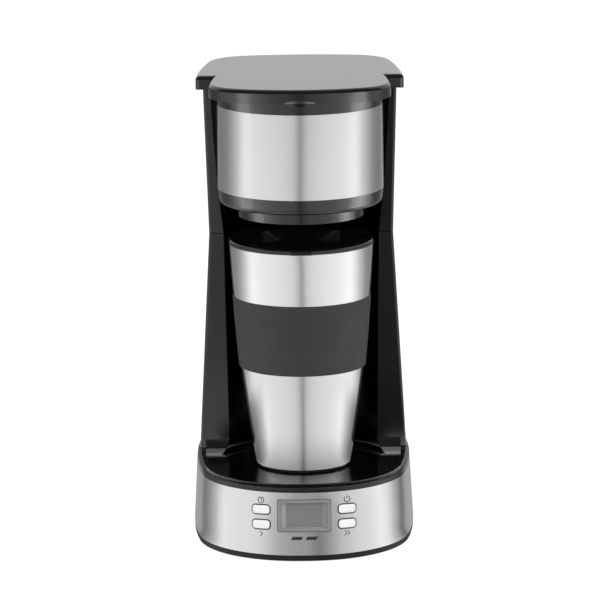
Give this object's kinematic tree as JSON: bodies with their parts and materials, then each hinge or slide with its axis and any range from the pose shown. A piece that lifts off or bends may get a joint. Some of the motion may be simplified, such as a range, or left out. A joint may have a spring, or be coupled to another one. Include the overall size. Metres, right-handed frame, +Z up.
{
  "type": "drip coffee maker",
  "caption": "Single-cup drip coffee maker: steel-banded brew drum on a rear column over a travel mug, timer panel on the base, hinged lid.",
  "frame": {"origin": "middle of the footprint on the surface it stands on", "axes": "+Z up, -Y towards the control panel, +X to the right of someone facing the panel"},
  "size_m": [0.131, 0.156, 0.275],
  "materials": {
    "black_plastic": "fine satin moulding",
    "black_gloss": "polished moulding",
    "steel": "satin, brushed round",
    "hardware": "plain",
    "mesh": "fine woven mesh",
    "rubber": "matte",
    "hose": "milky silicone",
    "tank": "smoky plastic",
    "aluminium": "as extruded",
    "fuse": "glass sleeve",
    "board": "solder mask",
    "switch": "moulded",
    "white_plastic": "satin moulding",
    "display": "liquid crystal, unlit",
    "window": "clear",
    "bezel": "silver moulding",
    "lens": "dark smoke"
  },
  "bodies": {
    "housing": {"base_cover": "black_plastic", "base_feet": "rubber", "cover_screws": "hardware", "base_shell": "black_plastic", "base_band": "steel", "base_deck": "black_gloss", "lower_housing": "black_plastic", "upper_housing": "black_plastic", "hinge_pins": "hardware", "brew_drum": "black_plastic", "drum_band": "steel", "filter_basket": "black_plastic", "filter_frame": "black_plastic", "filter_mesh": "mesh", "water_tank": "tank", "riser_tube": "tank", "outlet_spout": "tank", "cold_hose": "hose", "hot_hose": "hose", "check_valve": "tank", "boiler": "aluminium", "heating_element": "hardware", "boiler_strap": "aluminium", "thermostat": "aluminium", "thermal_fuses": "fuse", "display_bezel": "bezel", "display_window": "window", "display_module": "display", "indicator_lenses": "lens", "indicator_lamps": "lens", "control_board": "board", "button_switches": "switch", "power_board": "board", "cord_gland": "black_plastic"},
    "lid": {"lid_shell": "black_gloss", "lid_panel": "black_plastic"},
    "program_key": {"program_button": "white_plastic"},
    "hour_key": {"hour_button": "white_plastic"},
    "power_key": {"power_button": "white_plastic"},
    "minute_key": {"minute_button": "white_plastic"},
    "mug": {"mug_shell": "steel", "mug_liner": "black_plastic", "mug_foot": "black_plastic", "mug_sleeve": "rubber"},
    "mug_cap": {"mug_lid": "black_gloss", "mug_lid_seal": "rubber"},
    "sip_slider": {"mug_slider": "black_gloss"}
  },
  "joints": [
    {"name": "lid_hinge", "type": "hinge", "parent": "housing", "child": "lid", "pos_m": [0, 0.0743, 0.2632], "axis": [-1, 0, 0], "range_deg": [0, 100]},
    {"name": "program_press", "type": "slide", "parent": "housing", "child": "program_key", "axis": [0, 0.9985, -0.0541], "range_m": [0, 0.0008], "stiffness_N_per_m": 300},
    {"name": "hour_press", "type": "slide", "parent": "housing", "child": "hour_key", "axis": [0, 0.9985, -0.0541], "range_m": [0, 0.0008], "stiffness_N_per_m": 300},
    {"name": "power_press", "type": "slide", "parent": "housing", "child": "power_key", "axis": [0, 0.9985, -0.0541], "range_m": [0, 0.0008], "stiffness_N_per_m": 300},
    {"name": "minute_press", "type": "slide", "parent": "housing", "child": "minute_key", "axis": [0, 0.9985, -0.0541], "range_m": [0, 0.0008], "stiffness_N_per_m": 300},
    {"name": "mug_slide", "type": "slide", "parent": "housing", "child": "mug", "axis": [0, -0.9962, 0.0872], "range_m": [0, 0.16]},
    {"name": "mug_lid_lift", "type": "slide", "parent": "mug", "child": "mug_cap", "axis": [0, 0, 1], "range_m": [0, 0.009]},
    {"name": "sip_slide", "type": "slide", "parent": "mug_cap", "child": "sip_slider", "axis": [0, 1, 0], "range_m": [0, 0.012]}
  ]
}
